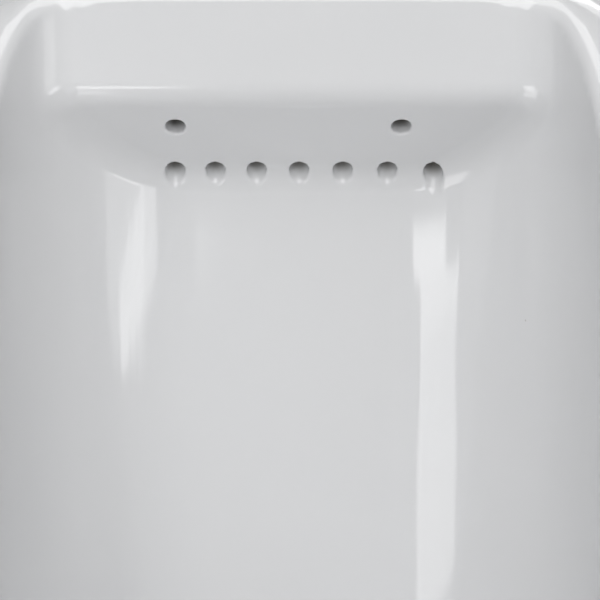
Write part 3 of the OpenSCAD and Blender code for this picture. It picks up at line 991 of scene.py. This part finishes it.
def turned(name, outline, at, axis="up", sides=64, shape=None):
    """A piece spun round an axis that is upright, or stands out from the wall, at (x, d, z)."""
    rows = np.array(outline, float)
    turn = np.arange(sides) * 2 * np.pi / sides
    r, h = (np.repeat(rows[:, k : k + 1], sides, 1) for k in (0, 1))
    if shape:
        r = shape(r, np.broadcast_to(turn, r.shape), h)
    u, v = r * np.cos(turn), r * np.sin(turn)
    x, d, z = at
    points = [x + u, v - d, z + h] if axis == "up" else [x + u, -d - h, z + v]
    points = np.stack(points, -1)
    index = np.arange(len(rows) * sides).reshape(len(rows), sides)
    aside = np.roll(index, -1, 1)
    quads = np.stack([index, aside, np.roll(aside, -1, 0), np.roll(index, -1, 0)], -1)
    quads = quads if rows[0, 0] > 0 else quads[:-1]
    mesh = new_mesh(name, points.reshape(-1, 3) * MM, quads.reshape(-1, 4))
    work = bmesh.new()
    work.from_mesh(mesh)
    bmesh.ops.remove_doubles(work, verts=work.verts, dist=1e-7)
    bmesh.ops.dissolve_degenerate(work, edges=work.edges, dist=1e-7)
    bmesh.ops.recalc_face_normals(work, faces=work.faces)
    work.to_mesh(mesh)
    work.free()
    mesh.set_sharp_from_angle(angle=SHARP)
    return new_object(name, mesh)


def thread(depth, pitch, low, high, least=0.0):
    """A shape function: a helical groove on what lies between two heights and beyond a radius."""

    def shape(r, turn, h):
        phase = (h / pitch - turn / (2 * np.pi)) % 1
        # Straight flanks, with a flat crest and a flat root.
        groove = np.clip(1.7 * np.abs(2 * phase - 1) - 0.35, 0, 1)
        ends = np.clip((h - low) / pitch, 0, 1) * np.clip((high - h) / pitch, 0, 1)
        return np.where(r > least, r - depth * groove * ends, r)

    return shape


CHAMFER_START, CHAMFER_SLOPE = 0.47, 1.732


def hexagon(flats, low, high, least, chamfered=(True, True)):
    """A shape function: flats instead of a round side, with chamfers at one or both ends."""

    def shape(r, turn, h):
        side = flats / 2 / np.cos((turn % (np.pi / 3)) - np.pi / 6)
        cone = np.full_like(r, 1e9)
        for end, used in ((h - low, chamfered[0]), (high - h, chamfered[1])):
            if used:
                cone = np.minimum(cone, CHAMFER_START * flats + CHAMFER_SLOPE * np.maximum(end, 0))
        hex_r = np.minimum(side, cone)
        on_side = (h >= low - 1e-6) & (h <= high + 1e-6) & (r > least)
        scale = (r - least) / (flats / 2 / math.cos(math.pi / 6) - least)
        return np.where(on_side, least + (hex_r - least) * np.clip(scale, 0, 1), r)

    return shape


# %% [markdown]
# ## Inlet fittings
#
# The spud is a flanged brass tube. It goes up through the china from inside the flush box, with a
# rubber gasket on its flange, and a friction ring and a locknut draw it tight. Its free end is
# threaded for the flush valve's coupling nut. The bore has a small seat, where a washer would lie.

# %% Spud
SPUD_R, SPUD_TOP_R, SPUD_BORE_R = 16.6, 16.2, 9.65
SPUD_FOOT, SPUD_STEP, SPUD_END = SEAT_Z - 7, 512.5, 526.0
INLET = (0, INLET_D, 0)
flange_r = BOSS_R - 2
outline = rounded(
    [
        (SPUD_BORE_R, SPUD_FOOT, 0.4),
        (flange_r, SPUD_FOOT, 0.8),
        (flange_r, SPUD_FOOT + 3, 0.8),
        (SPUD_R, SPUD_FOOT + 3, 0.3),
        (SPUD_R, SPUD_STEP, 0.4),
        (SPUD_TOP_R, SPUD_STEP + 0.2, 0.2),
        (SPUD_TOP_R, SPUD_END, 0.9),
        (SPUD_BORE_R + 3, SPUD_END, 0.5),
        (SPUD_BORE_R + 2.6, SPUD_END - 4, 0.4),
        (SPUD_BORE_R, SPUD_END - 5, 0.4),
    ]
)
lower = thread(0.75, 2.2, SPUD_FOOT + 7, SPUD_STEP, 15.5)
upper = thread(0.6, 1.4, SPUD_STEP + 0.2, SPUD_END - 0.6, 15.5)
spud = turned(
    "flush_spud_turned",
    filled_in(outline, 0.24),
    INLET,
    sides=96,
    shape=lambda r, turn, h: upper(lower(r, turn, h), turn, h),
)
finished(spud, "plated_brass", "urinal", "flush_spud")

# %% Gasket and friction ring
def ring(name, inner, outer, low, high, edge, at, axis="up", sides=96):
    corners = [(inner, low, edge), (outer, low, edge), (outer, high, edge), (inner, high, edge)]
    return turned(name, rounded(corners), at, axis, sides)


gasket = ring("spud_gasket_ring", SPUD_R + FIT, BOSS_R - 2.5, SEAT_Z - 4, SEAT_Z, 0.9, INLET)
finished(gasket, "black_rubber", "urinal", "spud_gasket")
slip = ring("friction_ring", SPUD_R + FIT, SPUD_NUT_AF / 2 + 1, BOSS_Z, BOSS_Z + 2, 0.5, INLET)
finished(slip, "zinc_steel", "urinal", "spud_friction_ring")

# %% Locknut
def nut(name, flats, bore_r, low, high, least, at, axis="up", sides=96, longest=0.25, edge=0.4):
    """A hexagonal nut with chamfers. Its flats lie beyond the least radius."""
    corner = flats / 2 / math.cos(math.pi / 6)
    corners = [(bore_r, low, edge), (corner, low, 0), (corner, high, 0), (bore_r, high, edge)]
    outline = filled_in(rounded(corners), longest)
    return turned(name, outline, at, axis, sides, hexagon(flats, low, high, least))


NUT_LOW, NUT_HIGH = BOSS_Z + 2, BOSS_Z + 12
NUT_BORE_R, NUT_LEAST_R = SPUD_R + FIT, SPUD_R + 2
fine = {"sides": 144, "longest": 0.4, "edge": 0.6}
locknut = nut("locknut_hex", SPUD_NUT_AF, NUT_BORE_R, NUT_LOW, NUT_HIGH, NUT_LEAST_R, INLET, **fine)
finished(locknut, "plated_brass", "urinal", "spud_locknut")

# %% [markdown]
# ## Strainer
#
# The strainer is a loose plate of stainless steel with rings of punched holes, a collar that drops
# into the trap's mouth and a knob to lift it by. The plate is turned. The perforations repeat by a
# rule, so Geometry Nodes punch them: each ring is a circle of points, a punch stands on every point,
# and one boolean takes all the punches out of the plate. A small bevel then breaks the edges.

# %% Strainer plate
COLLAR_R, COLLAR_BORE_R, COLLAR_H, KNOB_H = 20.7, 19.2, 10, 6
outline = rounded(
    [
        (0, PLATE_Z + KNOB_H, 0),
        (3.6, PLATE_Z + KNOB_H, 1.4),
        (4.5, PLATE_Z + 2, 0.9),
        (STRAINER_D / 2, PLATE_Z + 2, 1.0),
        (STRAINER_D / 2, PLATE_Z, 0.9),
        (COLLAR_R, PLATE_Z, 0.4),
        (COLLAR_R, PLATE_Z - COLLAR_H, 0.5),
        (COLLAR_BORE_R, PLATE_Z - COLLAR_H, 0.5),
        (COLLAR_BORE_R, PLATE_Z, 0.4),
        (0, PLATE_Z, 0),
    ],
    steps=3,
)
plate = turned("strainer_plate", outline, (0, DRAIN_D, 0), sides=96)
print("strainer plate:", len(plate.data.polygons), "faces")

# %% [markdown]
# ## Rules of Geometry Nodes
#
# The same class that makes shader nodes can make a Geometry Nodes tree, and the same arithmetic
# works on its sockets. A rule has its sizes as named inputs, so one tree serves pieces of several
# sizes. It ends in Realize Instances, because copies that aren't real are lost in an export.


# %% A rule of Geometry Nodes
class Rule(Nodes):
    """A Geometry Nodes tree with named number inputs, and its group input node as `given`."""

    def __init__(self, name, **sizes):
        super().__init__(bpy.data.node_groups.new(name, "GeometryNodeTree"))
        self.add_input("Geometry", "INPUT", "NodeSocketGeometry")
        self.add_input("Geometry", "OUTPUT", "NodeSocketGeometry")
        for label, value in sizes.items():
            kind = "NodeSocketInt" if isinstance(value, int) else "NodeSocketFloat"
            self.add_input(label.replace("_", " "), "INPUT", kind).default_value = value
        self.given = self.node("NodeGroupInput")

    def add_input(self, label, way, kind):
        return self.tree.interface.new_socket(label, in_out=way, socket_type=kind)

    def end(self, geometry):
        """The last nodes: real copies, and their material."""
        real = self.node("GeometryNodeRealizeInstances", None, {0: geometry})
        painted = self.node("GeometryNodeSetMaterial", None, {0: real})
        self.paint = painted.socket.node
        self.node("NodeGroupOutput", None, {0: painted})

    def grow(self, piece, material, **sizes):
        """The piece with the rule worked into its mesh, with these sizes by the inputs' identifiers."""
        modifier = piece.modifiers.new(self.tree.name, "NODES")
        modifier.node_group = self.tree
        for item in self.tree.interface.items_tree:
            label = item.name.replace(" ", "_")
            if item.item_type == "SOCKET" and item.in_out == "INPUT" and label in sizes:
                modifier[item.identifier] = sizes[label]
        self.paint.inputs["Material"].default_value = material
        return applied(piece)


# %% Perforations
RINGS, HOLES_IN_FIRST = 3, 6
RING_STEP = (STRAINER_D / 2 - 6) / 3.5
punched = Rule("punched rings", Ring_Step=0.009, Hole_Radius=0.0025, Height=0.0)
given = punched.given
punch = punched.node(
    "GeometryNodeMeshCylinder", None, {"Vertices": 24, "Radius": given.also("Hole Radius"), "Depth": 0.006}
)
gathered = punched.node("GeometryNodeJoinGeometry")
for number in range(1, RINGS + 1):
    circle = punched.node(
        "GeometryNodeMeshCircle",
        None,
        {"Vertices": HOLES_IN_FIRST * number, "Radius": given.also("Ring Step") * number},
    )
    stood = punched.node("GeometryNodeInstanceOnPoints", None, {"Points": circle, "Instance": punch})
    punched.feed(gathered.socket.node.inputs[0], stood)
lift = punched.node("ShaderNodeCombineXYZ", None, {"Y": -DRAIN_D * MM, "Z": given.also("Height")})
moved = punched.node("GeometryNodeTransform", None, {"Geometry": gathered, "Translation": lift})
punches = punched.node("GeometryNodeRealizeInstances", None, {0: moved})
boolean = {"operation": "DIFFERENCE", "solver": "EXACT"}
punched.end(punched.node("GeometryNodeMeshBoolean", boolean, {"Mesh 1": given, "Mesh 2": punches}))
strainer = punched.grow(
    plate,
    finishes["stainless"],
    Ring_Step=RING_STEP * MM,
    Hole_Radius=2.5 * MM,
    Height=(PLATE_Z + 1) * MM,
)
edge = strainer.modifiers.new("broken edges", "BEVEL")
edge.width, edge.segments, edge.limit_method, edge.angle_limit = 0.25 * MM, 2, "ANGLE", math.radians(50)
applied(strainer)
smooth(strainer.data)
strainer.data.set_sharp_from_angle(angle=math.radians(40))
strainer.name = "strainer_punched"
finished(strainer, "stainless", "strainer", "strainer")

# %% [markdown]
# ## Outlet fittings
#
# A flange on the waste pipe, with a threaded socket, presses a rubber ring against the china's horn.
# Two bolts go through the flange from the wall side and through the outlet web, and their nuts are
# tightened through the notches. The flange is a casting, so it is a field again, with soft edges
# where the pattern left the sand and crisp ones where it was machined.

# %% Outlet flange
EAR_R, SOCKET_R = 13.0, 28.7


def flange(x, d, z):
    body = bar(x, d, z, 0, FLANGE_D / 2, 0, FLANGE_T, 1.6)
    ears = bar(np.abs(x), d, z, BOLT_PITCH / 2, EAR_R, 0, FLANGE_T, 1.6)
    web = cut_round(between(d, 0, FLANGE_T), np.abs(z) - WEB_HALF, 1.6)
    web = np.maximum(web, np.abs(x) - BOLT_PITCH / 2)
    body = join_round(join_round(body, ears, 5.0), web, 5.0)
    body = cut_round(body, between(d, 0, FLANGE_T), 1.2)
    turn = np.arctan2(z, x) / (2 * np.pi)
    tooth = np.abs(2 * ((d / 2.2 - turn) % 1) - 1)
    socket = np.sqrt(x * x + z * z) - (SOCKET_R - 0.1) + 0.8 * tooth
    countersink = (np.sqrt(x * x + z * z) - SOCKET_R - 1 + d) / ROOT2
    body = cut_round(body, -np.minimum(socket, countersink), 0.3)
    bolt = bar(np.abs(x), d, z, BOLT_PITCH / 2, BOLT_D / 2 + FIT, -5, FLANGE_T + 5)
    sunk = bar(np.abs(x), d, z, BOLT_PITCH / 2, BOLT_D + 0.5, -5, 5.5, 0.5)
    return cut_round(body, -np.minimum(bolt, sunk), 0.5)


lines = [grid_line((-68, 68, 0.62)), grid_line((-1, 15.4, 0.5)), grid_line((-44, 44, 0.62))]
outlet_flange = net_piece("outlet_flange_cast", flange, lines, 60_000)
finished(outlet_flange, "raw_brass", "urinal", "outlet_flange")

# %% Outlet gasket
SEAL_BORE_R, SEAL_R = 26.0, 40.0
seal = ring("outlet_seal", SEAL_BORE_R, SEAL_R, 0, GASKET_T, 1.0, (0, FLANGE_T, 0), "out")
finished(seal, "black_rubber", "urinal", "outlet_gasket")

# %% [markdown]
# ## Fasteners
#
# Each fastener is turned once and then repeated. One Geometry Nodes tree does all of them: it makes
# columns and rows of points, puts a copy on each, and turns the copies by a random angle round their
# axis, because no one stops a nut at the same angle twice.

# %% Rule for rows of fasteners
in_grid = Rule("fasteners in rows", Columns=2, Rows=1, Column_Step=0.1, Row_Step=0.02, Low=0.0, Seed=1)
given = in_grid.given
first = {"X": given.also("Column Step") * -0.5, "Z": given.also("Low")}
start = in_grid.node("ShaderNodeCombineXYZ", None, first)
across = in_grid.node("ShaderNodeCombineXYZ", None, {"X": given.also("Column Step")})
upward = in_grid.node("ShaderNodeCombineXYZ", None, {"Z": given.also("Row Step")})
columns = in_grid.node(
    "GeometryNodeMeshLine", None, {"Count": given.also("Columns"), "Start Location": start, "Offset": across}
)
rows = in_grid.node("GeometryNodeMeshLine", None, {"Count": given.also("Rows"), "Offset": upward})
lattice = in_grid.node("GeometryNodeInstanceOnPoints", None, {"Points": columns, "Instance": rows})
spots = in_grid.node("GeometryNodeRealizeInstances", None, {0: lattice})
any_turn = in_grid.node(
    "FunctionNodeRandomValue", {"data_type": "FLOAT"}, {3: 2 * math.pi, "Seed": given.also("Seed")}, out=1
)
twist = in_grid.node("ShaderNodeCombineXYZ", None, {"Y": any_turn})
copies = {"Points": spots, "Instance": given, "Rotation": twist}
in_grid.end(in_grid.node("GeometryNodeInstanceOnPoints", None, copies))


def in_rows(piece, slot, node, pitch, rows=1, row_step=0.0, low=0.0, seed=1):
    sizes = {"Column_Step": pitch * MM, "Row_Step": row_step * MM, "Low": low * MM}
    in_grid.grow(piece, finishes[slot], Columns=2, Rows=rows, Seed=seed, **sizes)
    piece.data.set_sharp_from_angle(angle=SHARP)
    finished(piece, slot, "urinal", node)


# %% Outlet bolts, washers and nuts
OUT = (0, 0, 0)
WASHER_T, BOLT_NUT_T = 1.6, 6.5
BOLT_NUT_LOW = WEB_FRONT + WASHER_T
BOLT_PAST_NUT, BOLT_NUT_CORNER = 6.5, 7.4
BOLT_TIP = BOLT_NUT_LOW + BOLT_NUT_T + BOLT_PAST_NUT
BOLT_R, BOLT_HEAD_R, BOLT_HEAD_TOP = BOLT_D / 2, 8, 5.5
BOLT_NUT_AF = 2 * BOLT_NUT_CORNER * math.cos(math.pi / 6)
outline = rounded(
    [
        (0, 0.5, 0),
        (5.5, 0.8, 3.0),
        (BOLT_HEAD_R, 3.6, 1.2),
        (BOLT_HEAD_R, BOLT_HEAD_TOP, 0.4),
        (BOLT_R, BOLT_HEAD_TOP, 0.3),
        (BOLT_R, BOLT_TIP, 0.9),
        (0, BOLT_TIP, 0),
    ]
)
bolt_thread = thread(0.6, 1.25, 12, BOLT_TIP, 3.6)
bolt = turned("outlet_bolt_pair", filled_in(outline, 0.2), OUT, "out", 40, bolt_thread)
in_rows(bolt, "zinc_steel", "outlet_bolts", BOLT_PITCH, seed=3)
washer = ring("outlet_washer_pair", BOLT_R + FIT, 10.0, WEB_FRONT, BOLT_NUT_LOW, 0.35, OUT, "out", 64)
in_rows(washer, "zinc_steel", "outlet_washers", BOLT_PITCH)
BOLT_NUT_HIGH, BOLT_NUT_LEAST_R = BOLT_NUT_LOW + BOLT_NUT_T, 5.0
bolt_nut = nut(
    "outlet_nut_pair", BOLT_NUT_AF, BOLT_R + FIT, BOLT_NUT_LOW, BOLT_NUT_HIGH, BOLT_NUT_LEAST_R, OUT, "out"
)
in_rows(bolt_nut, "zinc_steel", "outlet_nuts", BOLT_PITCH, seed=5)

# %% Hanger washers and screws
SCREW_LOW, SCREW_STEP = 393.0, 24.0
washer = ring("hanger_washer_set", 3.3, 7.2, HANGER_T, HANGER_T + WASHER_T, 0.35, OUT, "out", 48)
in_rows(washer, "zinc_steel", "hanger_washers", 2 * HANGER_X, 2, SCREW_STEP, SCREW_LOW)

corner, head_low, head_high = 5.55, HANGER_T + WASHER_T, HANGER_T + WASHER_T + 4
outline = filled_in(
    rounded(
        [(0, -45, 0), (0.5, -44.6, 0.2), (3, -37, 0), (3, -1, 0.2), (2.7, -0.8, 0.1), (2.7, head_low, 0)]
        + [(corner, head_low, 0), (corner, head_high, 0), (0, head_high, 0)]
    ),
    0.3,
)
wood_thread = thread(0.95, 2.6, -43.5, -1.2, 0.0)
head = hexagon(2 * corner * math.cos(math.pi / 6), head_low, head_high, 2.8, (False, True))


def screw_shape(r, turn, h):
    cut = wood_thread(r, turn, h)
    return head(np.where((h < -1.2) & (r > 0), np.maximum(cut, 0.35 * r), r), turn, h)


screw = turned("hanger_screw_set", outline, OUT, "out", 48, screw_shape)
in_rows(screw, "zinc_steel", "hanger_screws", 2 * HANGER_X, 2, SCREW_STEP, SCREW_LOW, seed=8)

# %% [markdown]
# ## Hangers
#
# A hanger is a strip of plated steel, bent twice: flat on the wall, out under the china's ledge and
# up through its slot. Sheet metal keeps its thickness round a bend, so the field is the distance to
# the strip's middle line, less half its thickness, and the punched holes come out of that.

# %% Hangers
HOOK_D, TIP_H = 30.0, 10.0


def hanger_at(centre_x):
    mid, bend = HANGER_T / 2, 2.5
    arm_z, tip_d = LEDGE_Z - mid, HOOK_D - mid

    def segment(d, z, a, b):
        run = (b[0] - a[0], b[1] - a[1])
        t = np.clip(((d - a[0]) * run[0] + (z - a[1]) * run[1]) / (run[0] ** 2 + run[1] ** 2), 0, 1)
        return np.hypot(d - a[0] - t * run[0], z - a[1] - t * run[1])

    def arc(d, z, c, toward):
        inside = ((d - c[0]) * toward[0] >= 0) & ((z - c[1]) * toward[1] >= 0)
        return np.where(inside, np.abs(np.hypot(d - c[0], z - c[1]) - bend), 1e3)

    def field(x, d, z):
        strip = segment(d, z, (mid, 370), (mid, arm_z - bend))
        for part in (
            arc(d, z, (mid + bend, arm_z - bend), (-1, 1)),
            segment(d, z, (mid + bend, arm_z), (tip_d - bend, arm_z)),
            arc(d, z, (tip_d - bend, arm_z + bend), (1, -1)),
            segment(d, z, (tip_d, arm_z + bend), (tip_d, LEDGE_Z + TIP_H + 10)),
        ):
            strip = np.minimum(strip, part)
        edge = cut_round(np.abs(x - centre_x) - HANGER_W / 2, LEDGE_Z - 50 - z, 4.0)
        edge = cut_round(edge, z - (LEDGE_Z + TIP_H), 2.5)
        strip = cut_round(strip - mid, edge, 0.5)
        for k in (0, 1):
            hole = np.hypot(x - centre_x, z - SCREW_LOW - SCREW_STEP * k) - 3.5
            strip = cut_round(strip, -hole, 0.4)
        return strip

    return field


for side, centre_x in (("left", -HANGER_X), ("right", HANGER_X)):
    lines = [
        grid_line((centre_x - 18, centre_x + 18, 0.6)),
        grid_line((-1, 31.4, 0.6)),
        grid_line((LEDGE_Z - 51, LEDGE_Z + TIP_H + 1, 0.6)),
    ]
    hanger = net_piece(f"hanger_{side}_bent", hanger_at(centre_x), lines, 24_000)
    finished(hanger, "zinc_steel", "urinal", f"hanger_{side}")

# %% [markdown]
# ## Stage
#
# The urinal hangs indoors: broad light falls in from above and in front, and the glaze mirrors
# windows as two upright streaks, one on each side of the bowl's back. A picture of a room could be
# wrapped round the scene. Area lights are simpler, because a streak is then a lamp or two that can
# be moved until its reflection lies in the right place. The floor runs into the pale background
# with distance. Only the camera and the reflections see that background, and the light that it
# gives is weak. Lamps and camera are placed in metres, as the frame is.

# %% Floor
floor_z = cad_box[0].z - 0.002
bpy.ops.mesh.primitive_plane_add(size=16, location=(0, 0, floor_z))
floor = bpy.context.object
floor.name = "floor"
PALE = (0.60, 0.605, 0.61)
ground = Finish("pale_floor", (0.72, 0.725, 0.73), 0.8)
away = ground.node("ShaderNodeVectorMath", {"operation": "LENGTH"}, {0: ground.place}, out="Value")
haze = ground.node("ShaderNodeEmission", None, {"Color": (*PALE, 1), "Strength": 1.0})
camera_ray = ground.node("ShaderNodeLightPath")
far = away.step(0.35, 1.3) * (camera_ray + camera_ray.also("Is Glossy Ray"))
laid = Value(ground, ground.shader.outputs[0])
both = ground.node("ShaderNodeMixShader", None, {0: far, 1: laid, 2: haze})
ground.feed(ground.tree.nodes["Material Output"].inputs["Surface"], both)
floor.data.materials.append(ground.material)
print("the floor lies at z", round(floor_z, 3))

# %% Lights
def area_light(name, place, aim, width, height, watts, roll=0.0):
    lamp = bpy.data.lights.new(name, "AREA")
    lamp.shape = "RECTANGLE"
    lamp.size, lamp.size_y, lamp.energy = width, height, watts
    light = bpy.data.objects.new(name, lamp)
    light.location = place
    facing = (Vector(aim) - Vector(place)).to_track_quat("-Z", "Y")
    light.rotation_euler = (facing @ Quaternion((0, 0, 1), math.radians(roll))).to_euler()
    scene.collection.objects.link(light)


# Name, place and aim, width and height in metres, watts, and for one the roll in degrees.
area_light("front_high", (0.0, -2.6, 1.7), (0, -0.1, 0.3), 1.6, 1.6, 24.0)
area_light("overhead", (0.0, -0.9, 2.2), (0, -0.15, 0.3), 1.8, 1.8, 21.0)
area_light("window_left_high", (-0.335, -0.98, 0.2875), (-0.335, 0, 0.2875), 0.43, 0.075, 0.34)
area_light("window_left_middle", (-0.49, -0.98, 0.22), (-0.49, 0, 0.22), 0.58, 0.06, 0.31)
area_light("window_left_low", (-0.49, -0.98, 0.0325), (-0.49, 0, 0.0325), 0.58, 0.315, 1.15)
area_light("window_right", (0.815, -0.98, 0.234), (0.815, 0, 0.234), 0.80, 0.13, 0.65, -14.7)
area_light("side_left", (-2.2, -1.3, 0.5), (0, -0.15, 0.3), 1.5, 1.0, 1.2)
area_light("side_right", (2.0, -1.8, 0.3), (0, -0.15, 0.3), 1.2, 0.8, 3.0)
area_light("behind", (1.7, 2.2, 2.0), (0, 0, 0.2), 2.6, 1.6, 13.0)

# %% [markdown]
# ## Background
#
# A room is dark behind the viewer and pale where the picture looks. So the world is two colours,
# picked by the kind of ray: rays that light the pieces find a weak one, and the camera, mirrors
# and glass find the pale one.

# %% Background
world = bpy.data.worlds.new("room")
world.use_nodes = True
sky = Nodes(world.node_tree)
sky.tree.nodes.clear()
falls_in = sky.node("ShaderNodeBackground", None, {"Color": (0.9, 0.92, 0.95, 1), "Strength": 0.09})
is_seen = sky.node("ShaderNodeBackground", None, {"Color": (*PALE, 1), "Strength": 1.0})
ray = sky.node("ShaderNodeLightPath")
straight = ray + ray.also("Is Glossy Ray") + ray.also("Is Transmission Ray")
pick = sky.node("ShaderNodeMixShader", None, {0: straight, 1: falls_in, 2: is_seen})
sky.node("ShaderNodeOutputWorld", None, {"Surface": pick})
scene.world = world
scene.view_settings.view_transform = "Standard"
print("view transform:", scene.view_settings.view_transform)

# %% [markdown]
# ## Camera
#
# It stands where the photo was taken from, 0.8 m from the wall and a little above the wash holes,
# and looks slightly down. The focal length, in pixels of the photo, follows from how large the
# flush box is in it.

# %% Camera
FOCAL_PX, PHOTO_PX = 1646.7, 600
LOOKS_DOWN = 0.1164
camera = bpy.data.objects.new("camera", bpy.data.cameras.new("camera"))
camera.data.lens = FOCAL_PX / PHOTO_PX * camera.data.sensor_width
camera.location = (0.0017, -0.800, 0.4364)
camera.rotation_euler = (math.pi / 2 - LOOKS_DOWN, 0, 0)
camera.data.clip_start = 0.01
scene.collection.objects.link(camera)
scene.camera = camera
print("lens:", round(camera.data.lens, 1), "mm, turned down", round(math.degrees(LOOKS_DOWN), 1), "degrees")
